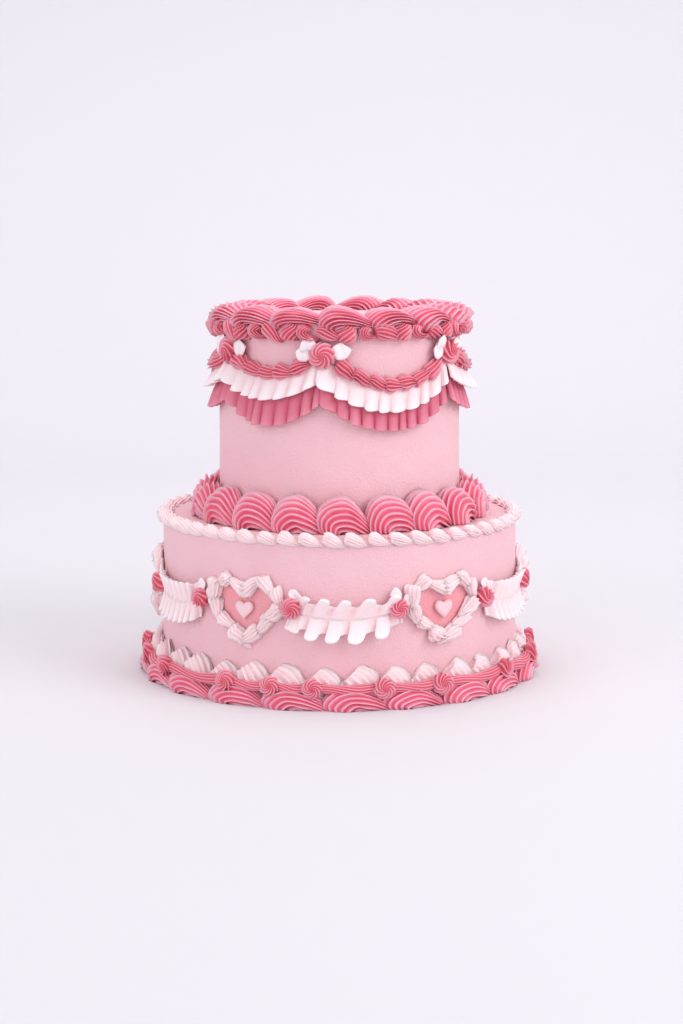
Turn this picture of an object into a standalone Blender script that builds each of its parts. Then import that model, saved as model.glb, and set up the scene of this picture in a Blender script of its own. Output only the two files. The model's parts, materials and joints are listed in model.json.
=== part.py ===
# Two-tier buttercream cake with piped shell borders, ruffled swags and piped hearts.
# Metres, +Z up. The origin is the centre of the base. Angle 0 faces the front, -Y, and grows towards +X.

import math
import random

import bmesh
import bpy
from mathutils import Vector

# Driving dimensions of the two tiers
LOWER_FOOT_RADIUS = 0.1106
LOWER_TOP_RADIUS = 0.1095
LOWER_HEIGHT = 0.0968
UPPER_FOOT_RADIUS = 0.0746
UPPER_TOP_RADIUS = 0.0738
UPPER_HEIGHT = 0.1219
TIER_SEGMENTS = 48
GAP = 0.0003
UPPER_FOOT_Z = LOWER_HEIGHT + GAP
UPPER_TOP_Z = UPPER_FOOT_Z + UPPER_HEIGHT

# Colours, linear
TIER_PINK = (0.87, 0.50, 0.56)
BRIGHT_ROSE = (0.78, 0.16, 0.27)
DUSTY_ROSE = (0.60, 0.12, 0.20)
DEEP_ROSE = (0.62, 0.17, 0.26)
WHITE_ICING = (0.90, 0.76, 0.77)
CANDY_PINK = (0.88, 0.62, 0.66)

# Rings of shells. Each section is drawn from the corner that the icing sits in: outwards, then up.
CROWN = {
    "count": 15,
    "first": -32.0,
    "beats": ((0.0, 0.46), (0.11, 0.86), (0.34, 1.0), (0.72, 0.80)),
    "section": (
        (0.0, -0.0058), (0.0046, -0.0050), (0.0060, -0.0010), (0.0040, 0.0034), (-0.0018, 0.0050),
        (-0.0100, 0.0070), (-0.0210, 0.0046), (-0.0260, 0.0),
    ),
}
UNDER = {
    "count": 36,
    "first": 3.3,
    "beats": ((0.0, 0.60), (0.35, 1.0)),
    "section": ((0.0, -0.0062), (0.0046, -0.0054), (0.0062, -0.0024), (0.0050, 0.0)),
}
WAIST = {
    "count": 19,
    "first": -7.3,
    "beats": ((0.0, 0.56), (0.15, 0.92), (0.42, 1.0), (0.76, 0.82)),
    "section": (
        (0.0, 0.0236), (0.0050, 0.0220), (0.0084, 0.0170), (0.0128, 0.0142),
        (0.0136, 0.0084), (0.0156, 0.0052), (0.0138, 0.0),
    ),
}
SHELF = {
    "count": 52,
    "first": -2.0,
    "beats": ((0.0, 0.62), (0.35, 1.0)),
    "section": ((0.0, -0.0042), (0.0026, 0.0012), (-0.0026, 0.0036), (-0.0070, 0.0)),
}
BASE_WHITE = {
    "count": 34,
    "first": -4.0,
    "beats": ((0.0, 0.66), (0.20, 0.96), (0.55, 1.0)),
    "section": ((0.0, 0.0158), (0.0030, 0.0126), (0.0047, 0.0056), (0.0042, 0.0)),
}
BASE = {
    "count": 21,
    "first": -9.0,
    "beats": ((0.0, 0.76), (0.14, 0.95), (0.40, 1.0), (0.74, 0.90)),
    "section": (
        (0.0, 0.0098), (0.0052, 0.0096), (0.0088, 0.0105),
        (0.0112, 0.0082), (0.0126, 0.0048), (0.0116, 0.0),
    ),
}
SHELL_SIZE_SPREAD = 0.06
SHELL_PLACE_SPREAD = 0.10
RING_CLEARANCE = 0.0005
BASE_CLEARANCE = 0.0008
CROWN_UNDER_TOP_Z = 0.2131
BASE_WHITE_FOOT_Z = 0.0106

# Rope of icing laid on the base shells, which swells into a small rosette at each loop
ROPE = {
    "count": 16,
    "first": -7.3,
    "sides": 4,
    "strand": {"radius": 0.1187, "z": 0.0134, "thickness": 0.0025},
    "rosette": {"radius": 0.1203, "z": 0.0151, "thickness": 0.0039},
    "beats": ((0.0, 1.0), (0.16, 0.1), (0.5, -0.1), (0.84, 0.1)),
}

# Swags on the upper tier. They hang between six joints, and the last three joints are spaced evenly.
SWAG_FRONT_JOINTS = (-57.3, -7.2, 56.5)
SWAG_COUNT = 6
SWAG_JOINT_Z = 0.2000
SWAG_SAGS = (0.0110, 0.0175, 0.0110, 0.0115, 0.0105, 0.0110)
GARLAND_SHELLS = 7
GARLAND_HALF_WIDTH = 0.0033
GARLAND_HEIGHT = 0.0062
RUFFLE_THICKNESS = 0.0015
WHITE_PLEATS = 9
WHITE_DROP = 0.0155
WHITE_TROUGH = 0.0053
WHITE_CREST = 0.0100
WHITE_TOP_OUT = 0.0024
DEEP_PLEATS = 8
DEEP_TOP_DROP = 0.0130
DEEP_DROP = 0.0285
DEEP_MIDDLE_DROPS = (0.0315, 0.0270, 0.0280, 0.0285, 0.0275, 0.0280)
DEEP_TROUGH = 0.0024
DEEP_CREST = 0.0095
DEEP_TOP_OUT = 0.0019
RUFFLE_SLANT = 0.0003
PIPING_GAP = 0.0005
SWAG_ROSETTE_RADIUS = 0.0068
SWAG_ROSETTE_HEIGHT = 0.0088
WHITE_END_ANGLE = 0.35

# Hearts and ruffle bands on the lower tier
HEART_FRONT_ANGLES = (-89.5, -29.6, 32.8, 96.0)
HEART_COUNT = 6
HEART_MIDDLE_Z = 0.0548
HEART_HALF_WIDTH = 0.0212
HEART_TIP_Z = 0.0388
HEART_LOBE_Z = 0.0705
HEART_SHELLS = 12
HEART_TRAIL_HALF_WIDTH = 0.0042
HEART_TRAIL_HEIGHT = 0.0058
CANDY_WIDTH = 0.0122
CANDY_HEIGHT = 0.0112
CANDY_THICKNESS = 0.0031
CANDY_SIDES = 10
HEART_ROSETTE_OFFSET = 15.6
HEART_ROSETTE_Z = 0.0580
HEART_ROSETTE_RADIUS = 0.0052
HEART_ROSETTE_HEIGHT = 0.0066
BAND_END_OFFSET = 18.6
BAND_PLEATS = (7, 5, 7, 7, 7, 7)
BAND_END_Z = 0.0560
BAND_SAG = 0.0050
BAND_HALF_HEIGHT = 0.0122
BAND_TROUGH = 0.0034
BAND_CREST = 0.0080
BAND_CREASE = 0.0028
BAND_EDGE_WAVE = 0.0012
BAND_ROOT_HALF_HEIGHT = 0.0046

# Small leaves beside the rosettes
SWAG_LEAF_LENGTH = 0.0090
HEART_LEAF_LENGTH = 0.0062
LEAF_WIDTH = 0.0052
LEAF_THICKNESS = 0.0010
LEAF_WAVE = 0.0009


def make_material(name, color, roughness):
    material = bpy.data.materials.new(name)
    material.use_nodes = True
    shader = material.node_tree.nodes["Principled BSDF"]
    shader.inputs["Base Color"].default_value = (*color, 1.0)
    shader.inputs["Roughness"].default_value = roughness
    shader.inputs["Metallic"].default_value = 0.0
    return material


def add_object(name, mesh_data, material, smooth_angle=50.0):
    """Turns a bmesh into a named object with its faces pointing out."""
    bmesh.ops.recalc_face_normals(mesh_data, faces=mesh_data.faces)
    mesh = bpy.data.meshes.new(name)
    mesh_data.to_mesh(mesh)
    mesh_data.free()
    mesh.shade_smooth()
    mesh.set_sharp_from_angle(angle=math.radians(smooth_angle))
    mesh.materials.append(material)
    thing = bpy.data.objects.new(name, mesh)
    bpy.context.scene.collection.objects.link(thing)
    return thing


def around(angle, radius, height):
    """The point at this angle in degrees, this far from the axis and this high."""
    turn = math.radians(angle)
    return Vector((radius * math.sin(turn), -radius * math.cos(turn), height))


def lower_wall(height):
    share = height / LOWER_HEIGHT
    return LOWER_FOOT_RADIUS + (LOWER_TOP_RADIUS - LOWER_FOOT_RADIUS) * share


def upper_wall(height):
    share = (height - UPPER_FOOT_Z) / UPPER_HEIGHT
    return UPPER_FOOT_RADIUS + (UPPER_TOP_RADIUS - UPPER_FOOT_RADIUS) * share


def loft(mesh_data, rings, closed):
    """Joins rings of points by triangles. An open loft gets a cap at each end."""
    rows = [[mesh_data.verts.new(point) for point in ring] for ring in rings]
    size = len(rows[0])
    pairs = list(zip(rows, rows[1:]))
    if closed:
        pairs.append((rows[-1], rows[0]))
    for near, far in pairs:
        for i in range(size):
            j = (i + 1) % size
            mesh_data.faces.new((near[i], near[j], far[j]))
            mesh_data.faces.new((near[i], far[j], far[i]))
    if not closed:
        for row in (rows[0], rows[-1]):
            for i in range(1, size - 1):
                mesh_data.faces.new((row[0], row[i], row[i + 1]))


def make_tier(name, foot_radius, top_radius, foot, height, material):
    mesh_data = bmesh.new()
    bmesh.ops.create_cone(
        mesh_data, cap_ends=True, segments=TIER_SEGMENTS,
        radius1=foot_radius, radius2=top_radius, depth=height,
    )
    bmesh.ops.translate(mesh_data, verts=mesh_data.verts, vec=(0.0, 0.0, foot + height / 2))
    return add_object(name, mesh_data, material)


def make_shell_ring(name, corner_radius, corner_z, ring, material, seed):
    """A closed ring of shells. The section swells at each head and shrinks at each tail, about its corner."""
    draw = random.Random(seed)
    step = 360.0 / ring["count"]
    starts = [draw.uniform(-1, 1) * SHELL_PLACE_SPREAD * step for _ in range(ring["count"])]
    sizes = [1 + draw.uniform(-1, 1) * SHELL_SIZE_SPREAD for _ in range(ring["count"])]
    sizes = [size / (1 + SHELL_SIZE_SPREAD) for size in sizes]
    rings = []
    for i in range(ring["count"]):
        start = ring["first"] + i * step + starts[i]
        length = step + starts[(i + 1) % ring["count"]] - starts[i]
        for place, swell in ring["beats"]:
            scale = sizes[i] * swell
            angle = start + place * length
            points = [around(angle, corner_radius, corner_z)]
            for out, up in ring["section"]:
                points.append(around(angle, corner_radius + out * scale, corner_z + up * scale))
            rings.append(points)
    mesh_data = bmesh.new()
    loft(mesh_data, rings, closed=True)
    return add_object(name, mesh_data, material)


def add_rosette(mesh_data, place, radius, height, sides, tiers):
    """A mound of swirled icing. place(x, z, h) gives the point across, up and out from its centre."""
    rows = []
    for level, (spread, lift) in enumerate(tiers):
        row = []
        for i in range(sides):
            turn = 2 * math.pi * (i + 0.5 * level) / sides
            reach = radius * spread * (1.0 if level == 0 or i % 2 else 0.86)
            point = place(reach * math.cos(turn), reach * math.sin(turn), height * lift)
            row.append(mesh_data.verts.new(point))
        rows.append(row)
    foot = mesh_data.verts.new(place(0.0, 0.0, 0.0))
    peak = mesh_data.verts.new(place(0.0, 0.0, height * 0.92))
    for i in range(sides):
        j = (i + 1) % sides
        mesh_data.faces.new((foot, rows[0][j], rows[0][i]))
        mesh_data.faces.new((peak, rows[-1][i], rows[-1][j]))
        for near, far in zip(rows, rows[1:]):
            mesh_data.faces.new((near[i], near[j], far[j]))
            mesh_data.faces.new((near[i], far[j], far[i]))


def add_leaf(mesh_data, place, start, heading, lift, length):
    """A thin wavy leaf that starts this far from the rosette's centre. Both faces split alike."""
    along = Vector((math.cos(math.radians(heading)), math.sin(math.radians(heading))))
    across = Vector((-along.y, along.x))
    shape = (
        (0.0, 0.0, 0.0), (0.55, 0.5, LEAF_WAVE), (1.0, 0.1, LEAF_WAVE),
        (0.45, -0.5, LEAF_WAVE * 2), (0.5, 0.0, -LEAF_WAVE * 0.5),
    )
    faces = []
    for depth in (0.0, LEAF_THICKNESS):
        face = []
        for forward, sideways, wave in shape:
            spot = along * (start + forward * length) + across * (sideways * LEAF_WIDTH)
            out = lift + wave + depth + forward * LEAF_WAVE
            face.append(mesh_data.verts.new(place(spot.x, spot.y, out)))
        faces.append(face)
    back, front = faces
    for i in range(4):
        j = (i + 1) % 4
        mesh_data.faces.new((back[i], back[j], back[4]))
        mesh_data.faces.new((front[j], front[i], front[4]))
        mesh_data.faces.new((back[i], front[j], back[j]))
        mesh_data.faces.new((back[i], front[i], front[j]))


def fused(name, pieces, material):
    """One solid from overlapping meshes, by one Boolean union on a collection."""
    parts = bpy.data.collections.new(name + "_parts")
    bpy.context.scene.collection.children.link(parts)
    body = add_object(name, pieces[0], material)
    for i, piece in enumerate(pieces[1:]):
        part = add_object(f"{name}_{i}", piece, material)
        bpy.context.scene.collection.objects.unlink(part)
        parts.objects.link(part)
    union = body.modifiers.new("union", "BOOLEAN")
    union.operation = "UNION"
    union.operand_type = "COLLECTION"
    union.collection = parts
    union.solver = "EXACT"
    joined = bpy.data.meshes.new_from_object(body.evaluated_get(bpy.context.evaluated_depsgraph_get()))
    body.modifiers.clear()
    body.data = joined
    for part in list(parts.objects):
        bpy.data.objects.remove(part)
    bpy.data.collections.remove(parts)
    return body


def wall_place(angle, middle_z, wall, clearance=GAP):
    """A function that lays x, z and height out on the wall round this angle."""

    def place(x, z, height):
        level = middle_z + z
        radius = wall(level)
        return around(angle + math.degrees(x / radius), radius + clearance + height, level)

    return place


def make_base_rope(material):
    """A closed strand that swells at each rosette."""
    strand, rosette = ROPE["strand"], ROPE["rosette"]
    step = 360.0 / ROPE["count"]
    rings = []
    for i in range(ROPE["count"]):
        for place, swell in ROPE["beats"]:
            angle = ROPE["first"] + (i + place) * step
            radius, z, thickness = (
                strand[key] + (rosette[key] - strand[key]) * swell for key in ("radius", "z", "thickness")
            )
            ring = []
            for corner in range(ROPE["sides"]):
                turn = 2 * math.pi * corner / ROPE["sides"] - math.pi / 2
                out = radius + thickness * math.cos(turn)
                ring.append(around(angle, out, z + thickness * math.sin(turn)))
            rings.append(ring)
    mesh_data = bmesh.new()
    loft(mesh_data, rings, closed=True)
    return add_object("base_rope", mesh_data, material)


def swag_joints():
    """The angle of each joint, the last one a whole turn past the first."""
    joints = list(SWAG_FRONT_JOINTS)
    rest = (360.0 + joints[0] - joints[-1]) / (SWAG_COUNT - len(joints) + 1)
    while len(joints) <= SWAG_COUNT:
        joints.append(joints[-1] + rest)
    return joints


def swag_line(joints, number, share):
    """Angle and height of the middle of the garland, this share of the way along a swag."""
    angle = joints[number] + (joints[number + 1] - joints[number]) * share
    return angle, SWAG_JOINT_Z - SWAG_SAGS[number] * 4 * share * (1 - share)


def joint_distance(joints, number, angle):
    """How far along the wall an angle is from the nearer end of its swag."""
    near = min(angle - joints[number], joints[number + 1] - angle)
    return math.radians(near) * (UPPER_TOP_RADIUS + 0.004)


def make_white_ruffle(joints, number, material):
    width = joints[number + 1] - joints[number]
    rings = []
    for i in range(2 * WHITE_PLEATS + 1):
        inset = WHITE_END_ANGLE / width
        share = inset + (1 - 2 * inset) * i / (2 * WHITE_PLEATS)
        angle, line = swag_line(joints, number, share)
        reach = joint_distance(joints, number, angle)
        slope = SWAG_SAGS[number] * 4 * (1 - 2 * share) / (math.radians(width) * UPPER_TOP_RADIUS)
        top = line - (GARLAND_HALF_WIDTH + PIPING_GAP) * math.hypot(1, slope)
        keep_out = SWAG_ROSETTE_RADIUS + PIPING_GAP
        if reach < keep_out:
            top = min(top, SWAG_JOINT_Z - math.sqrt(keep_out**2 - reach**2))
        bottom = line - WHITE_DROP
        out = WHITE_CREST if i % 2 else WHITE_TROUGH
        rings.append([
            around(angle, upper_wall(top) + GAP, top),
            around(angle, upper_wall(top) + WHITE_TOP_OUT, top - RUFFLE_SLANT),
            around(angle, upper_wall(bottom) + out, bottom),
            around(angle, upper_wall(bottom) + out - RUFFLE_THICKNESS, bottom + RUFFLE_SLANT),
        ])
    mesh_data = bmesh.new()
    loft(mesh_data, rings, closed=False)
    return add_object(f"white_ruffle_{number + 1}", mesh_data, material)


def make_deep_ruffle(joints, material):
    rings = []
    for number in range(SWAG_COUNT):
        for i in range(2 * DEEP_PLEATS):
            share = i / (2 * DEEP_PLEATS)
            angle, line = swag_line(joints, number, share)
            middle = 4 * share * (1 - share)
            drop = DEEP_DROP + (DEEP_MIDDLE_DROPS[number] - DEEP_DROP) * middle
            top = line - DEEP_TOP_DROP
            bottom = line - drop
            out = DEEP_TROUGH if i % 2 else DEEP_CREST
            rings.append([
                around(angle, upper_wall(top) + GAP, top),
                around(angle, upper_wall(top) + DEEP_TOP_OUT, top - RUFFLE_SLANT),
                around(angle, upper_wall(bottom) + out, bottom),
                around(angle, upper_wall(bottom) + out - RUFFLE_THICKNESS, bottom + RUFFLE_SLANT),
            ])
    mesh_data = bmesh.new()
    loft(mesh_data, rings, closed=True)
    return add_object("deep_ruffle", mesh_data, material)


def trail_rings(spots, half_width, height, swells, place, closed, least_x=None):
    """Sections of a piped trail across the line through the spots, laid on a wall."""
    section = ((-1.0, 0.0), (-0.6, 0.85), (0.35, 1.0), (1.0, 0.0))
    rings = []
    count = len(spots)
    for i, (spot, swell) in enumerate(zip(spots, swells)):
        before = spots[(i - 1) % count] if closed or i > 0 else spot
        after = spots[(i + 1) % count] if closed or i < count - 1 else spot
        forward = (after - before).normalized()
        across = Vector((-forward.y, forward.x))
        ring = []
        for sideways, lift in section:
            point = spot + across * (sideways * half_width * swell)
            if least_x is not None and abs(spot.x) > least_x:
                point.x = math.copysign(max(abs(point.x), least_x), spot.x)
            ring.append(place(point.x, point.y, height * lift * swell))
        rings.append(ring)
    return rings


def make_garland(joints, number, material):
    middle_angle = (joints[number] + joints[number + 1]) / 2
    keep_out = SWAG_ROSETTE_RADIUS + 0.0007
    start = 0.0
    while True:
        angle, line = swag_line(joints, number, start)
        if math.hypot(joint_distance(joints, number, angle), SWAG_JOINT_Z - line) > keep_out:
            break
        start += 0.001
    spots = []
    swells = []
    for i in range(2 * GARLAND_SHELLS + 1):
        share = start + (1 - 2 * start) * i / (2 * GARLAND_SHELLS)
        angle, line = swag_line(joints, number, share)
        spots.append(Vector((math.radians(angle - middle_angle) * upper_wall(line), line)))
        swells.append(1.0 if i % 2 else 0.6)
    place = wall_place(middle_angle, 0.0, upper_wall)
    mesh_data = bmesh.new()
    rings = trail_rings(spots, GARLAND_HALF_WIDTH, GARLAND_HEIGHT, swells, place, closed=False)
    loft(mesh_data, rings, closed=False)
    return add_object(f"garland_{number + 1}", mesh_data, material)


def make_wall_rosette(name, angle, middle_z, wall, radius, height, headings, leaf_length, material):
    place = wall_place(angle, middle_z, wall, clearance=0.0004)
    mound = bmesh.new()
    add_rosette(mound, place, radius, height, 8, ((1.0, 0.0), (0.98, 0.45), (0.55, 0.92)))
    pieces = [mound]
    for heading in headings:
        leaf = bmesh.new()
        add_leaf(leaf, place, radius * 0.72, heading, 0.0008, leaf_length)
        pieces.append(leaf)
    return fused(name, pieces, material)


def heart_spot(turn, half_width, lobe_z, tip_z):
    """A point of the heart curve, x across and z up."""
    lobe_top, tip = 11.93, -17.0
    x = half_width * math.sin(turn) ** 3
    wave = 13 * math.cos(turn) - 5 * math.cos(2 * turn) - 2 * math.cos(3 * turn) - math.cos(4 * turn)
    return Vector((x, tip_z + (lobe_z - tip_z) * (wave - tip) / (lobe_top - tip)))


def heart_walk(count, half_width, lobe_z, tip_z):
    """Points at even steps along the heart curve, from the notch round by the tip."""
    fine = [heart_spot(2 * math.pi * i / 720, half_width, lobe_z, tip_z) for i in range(721)]
    lengths = [0.0]
    for a, b in zip(fine, fine[1:]):
        lengths.append(lengths[-1] + (b - a).length)
    spots = []
    i = 0
    for step in range(count):
        while lengths[i] < lengths[-1] * step / count:
            i += 1
        spots.append(fine[i])
    return spots


def heart_angles():
    """The angle of each heart's middle. Those at the back are spaced evenly."""
    angles = list(HEART_FRONT_ANGLES)
    rest = (360.0 + angles[0] - angles[-1]) / (HEART_COUNT - len(angles) + 1)
    while len(angles) < HEART_COUNT:
        angles.append(angles[-1] + rest)
    return angles


def make_heart_outline(number, angle, material):
    spots = heart_walk(2 * HEART_SHELLS, HEART_HALF_WIDTH, HEART_LOBE_Z, HEART_TIP_Z)
    swells = [0.72 if i % 2 == 0 else 1.0 for i in range(len(spots))]
    place = wall_place(angle, 0.0, lower_wall)
    mesh_data = bmesh.new()
    rings = trail_rings(
        spots, HEART_TRAIL_HALF_WIDTH, HEART_TRAIL_HEIGHT, swells, place, closed=True, least_x=0.0004
    )
    loft(mesh_data, rings, closed=True)
    return add_object(f"heart_outline_{number + 1}", mesh_data, material)


def make_candy(number, angle, material):
    """A small pillow-shaped sugar heart."""
    place = wall_place(angle, HEART_MIDDLE_Z, lower_wall, clearance=0.0004)
    spots = heart_walk(CANDY_SIDES, CANDY_WIDTH / 2, CANDY_HEIGHT / 2, -CANDY_HEIGHT / 2)
    mesh_data = bmesh.new()
    rows = []
    for share, lift in ((1.0, 0.0), (1.0, 0.55), (0.78, 1.0)):
        row = []
        for spot in spots:
            point = place(spot.x * share, spot.y * share, CANDY_THICKNESS * lift)
            row.append(mesh_data.verts.new(point))
        rows.append(row)
    back = mesh_data.verts.new(place(0.0, 0.0, 0.0))
    front = mesh_data.verts.new(place(0.0, 0.0, CANDY_THICKNESS))
    for i in range(len(spots)):
        j = (i + 1) % len(spots)
        mesh_data.faces.new((back, rows[0][j], rows[0][i]))
        mesh_data.faces.new((front, rows[-1][i], rows[-1][j]))
        for near, far in zip(rows, rows[1:]):
            mesh_data.faces.new((near[i], near[j], far[j]))
            mesh_data.faces.new((near[i], far[j], far[i]))
    return add_object(f"candy_heart_{number + 1}", mesh_data, material)


def make_band(number, start, end, material):
    """A double ruffle between two hearts: both edges stand off the wall in waves, out of step."""
    stations = 2 * BAND_PLEATS[number] + 1
    rings = []
    for i in range(stations):
        share = i / (stations - 1)
        angle = start + (end - start) * share
        line = BAND_END_Z - BAND_SAG * 4 * share * (1 - share)
        upper, upper_wave = (BAND_CREST, BAND_EDGE_WAVE) if i % 2 else (BAND_TROUGH, -BAND_EDGE_WAVE)
        lower, lower_wave = (BAND_TROUGH, -BAND_EDGE_WAVE) if i % 2 else (BAND_CREST, BAND_EDGE_WAVE)
        place = wall_place(angle, line, lower_wall)
        rings.append([
            place(0.0, -BAND_HALF_HEIGHT - lower_wave, lower),
            place(0.0, 0.0, BAND_CREASE),
            place(0.0, BAND_HALF_HEIGHT + upper_wave, upper),
            place(0.0, BAND_ROOT_HALF_HEIGHT, 0.0),
            place(0.0, -BAND_ROOT_HALF_HEIGHT, 0.0),
        ])
    mesh_data = bmesh.new()
    loft(mesh_data, rings, closed=False)
    return add_object(f"ruffle_band_{number + 1}", mesh_data, material)


def make_borders(bright, dusty, white):
    crown_corner = UPPER_TOP_RADIUS + RING_CLEARANCE
    under_corner = upper_wall(CROWN_UNDER_TOP_Z) + RING_CLEARANCE
    waist_corner = UPPER_FOOT_RADIUS + RING_CLEARANCE
    shelf_corner = LOWER_TOP_RADIUS + RING_CLEARANCE
    foot_corner = LOWER_FOOT_RADIUS + RING_CLEARANCE
    make_shell_ring("crown_shells", crown_corner, UPPER_TOP_Z + GAP, CROWN, bright, 11)
    make_shell_ring("crown_under_shells", under_corner, CROWN_UNDER_TOP_Z, UNDER, dusty, 12)
    make_shell_ring("waist_shells", waist_corner, LOWER_HEIGHT + GAP, WAIST, bright, 13)
    make_shell_ring("shelf_border", shelf_corner, LOWER_HEIGHT + GAP, SHELF, white, 14)
    make_shell_ring("base_white_shells", foot_corner, BASE_WHITE_FOOT_Z, BASE_WHITE, white, 15)
    make_shell_ring("base_shells", LOWER_FOOT_RADIUS + BASE_CLEARANCE, 0.0, BASE, bright, 16)
    make_base_rope(dusty)


def make_swags(dusty, deep, white):
    joints = swag_joints()
    make_deep_ruffle(joints, deep)
    for number in range(SWAG_COUNT):
        make_white_ruffle(joints, number, white)
        make_garland(joints, number, dusty)
        make_wall_rosette(
            f"swag_rosette_{number + 1}", joints[number], SWAG_JOINT_Z, upper_wall,
            SWAG_ROSETTE_RADIUS, SWAG_ROSETTE_HEIGHT, (18.0, 150.0, 172.0), SWAG_LEAF_LENGTH, dusty,
        )


def make_hearts(dusty, white, candy):
    angles = heart_angles()
    for number, angle in enumerate(angles):
        make_heart_outline(number, angle, white)
        make_candy(number, angle, candy)
        after = angles[number + 1] if number + 1 < HEART_COUNT else angles[0] + 360.0
        make_band(number, angle + BAND_END_OFFSET, after - BAND_END_OFFSET, white)
        for side, offset, heading in (("left", -1, 95.0), ("right", 1, 85.0)):
            make_wall_rosette(
                f"heart_rosette_{side}_{number + 1}", angle + offset * HEART_ROSETTE_OFFSET,
                HEART_ROSETTE_Z, lower_wall, HEART_ROSETTE_RADIUS, HEART_ROSETTE_HEIGHT,
                (heading,), HEART_LEAF_LENGTH, dusty,
            )


def main():
    for thing in list(bpy.data.objects):
        bpy.data.objects.remove(thing)
    pink = make_material("tier_icing", TIER_PINK, 0.62)
    bright = make_material("bright_rose_icing", BRIGHT_ROSE, 0.50)
    dusty = make_material("dusty_rose_icing", DUSTY_ROSE, 0.50)
    deep = make_material("deep_rose_icing", DEEP_ROSE, 0.55)
    white = make_material("white_icing", WHITE_ICING, 0.55)
    candy = make_material("candy", CANDY_PINK, 0.45)
    make_tier("lower_tier", LOWER_FOOT_RADIUS, LOWER_TOP_RADIUS, 0.0, LOWER_HEIGHT, pink)
    make_tier("upper_tier", UPPER_FOOT_RADIUS, UPPER_TOP_RADIUS, UPPER_FOOT_Z, UPPER_HEIGHT, pink)
    make_borders(bright, dusty, white)
    make_swags(dusty, deep, white)
    make_hearts(dusty, white, candy)


main()
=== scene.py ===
import json
import math

import bpy
import numpy as np
from mathutils import Matrix, Vector

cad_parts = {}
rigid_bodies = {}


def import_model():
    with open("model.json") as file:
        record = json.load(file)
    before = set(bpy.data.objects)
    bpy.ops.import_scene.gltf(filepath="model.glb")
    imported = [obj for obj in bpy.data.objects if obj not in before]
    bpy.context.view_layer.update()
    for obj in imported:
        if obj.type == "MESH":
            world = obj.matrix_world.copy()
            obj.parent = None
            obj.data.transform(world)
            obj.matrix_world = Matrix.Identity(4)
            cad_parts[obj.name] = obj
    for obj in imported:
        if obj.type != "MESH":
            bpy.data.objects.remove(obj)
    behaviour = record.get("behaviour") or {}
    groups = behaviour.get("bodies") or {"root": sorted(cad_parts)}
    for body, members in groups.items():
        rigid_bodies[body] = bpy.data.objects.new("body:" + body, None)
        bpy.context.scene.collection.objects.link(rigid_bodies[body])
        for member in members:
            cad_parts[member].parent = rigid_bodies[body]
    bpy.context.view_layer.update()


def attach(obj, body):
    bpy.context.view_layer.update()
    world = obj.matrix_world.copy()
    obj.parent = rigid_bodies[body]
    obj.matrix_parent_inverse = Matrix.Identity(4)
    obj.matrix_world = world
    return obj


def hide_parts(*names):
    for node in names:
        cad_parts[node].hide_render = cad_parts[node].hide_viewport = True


# Two-tier cake with piped shells, ruffled swags and piped hearts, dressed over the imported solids.
# Metres, +Z up. Angle 0 faces the front, -Y, and grows towards +X. Piping shapes are drawn in millimetres.

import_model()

cake = {
    "lowerFoot": 0.1106, "lowerTop": 0.1095, "lowerHeight": 0.0968,
    "upperFoot": 0.0746, "upperTop": 0.0738, "upperHeight": 0.1219, "gap": 0.0003,
}
shelfZ = cake["lowerHeight"] + cake["gap"]
crownZ = shelfZ + cake["upperHeight"]
footZ = 0.0001  # just clear of what the cake stands on


def lowerWall(z):
    return cake["lowerFoot"] + (cake["lowerTop"] - cake["lowerFoot"]) * z / cake["lowerHeight"]


def upperWall(z):
    return cake["upperFoot"] + (cake["upperTop"] - cake["upperFoot"]) * (z - shelfZ) / cake["upperHeight"]


def onRound(angle, radius, z):
    # places at an angle in degrees round the cake
    turn = np.radians(angle)
    return np.stack(np.broadcast_arrays(radius * np.sin(turn), -radius * np.cos(turn), z), -1)


def smoothLine(knots, t):
    # a smooth line through the knots, read at t from 0 to 1
    knots = np.array(knots, float)
    place = t * (len(knots) - 1)
    i = np.clip(place.astype(int), 0, len(knots) - 2)
    f = place - i
    if knots.ndim > 1:
        f = f[:, None]
    a, b = knots[np.maximum(i - 1, 0)], knots[i]
    c, d = knots[i + 1], knots[np.minimum(i + 2, len(knots) - 1)]
    return 0.5 * (2 * b + (c - a) * f + (2 * a - 5 * b + 4 * c - d) * f**2 + (3 * b - a - 3 * c + d) * f**3)


def tone(red, green, blue, depth):
    # a screen colour as light, dimmed by its depth
    return [*(depth * ((c / 255 + 0.055) / 1.055) ** 2.4 for c in (red, green, blue)), 1.0]


def addNode(tree, kind, values=None, **settings):
    node = tree.nodes.new(kind)
    for key, value in settings.items():
        setattr(node, key, value)
    for key, value in (values or {}).items():
        if isinstance(value, bpy.types.NodeSocket):
            tree.links.new(value, node.inputs[key])
        else:
            node.inputs[key].default_value = value
    return node


noiseSpan = {"From Min": 0.3, "From Max": 0.7}  # where nearly all of a noise texture's values lie


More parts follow.
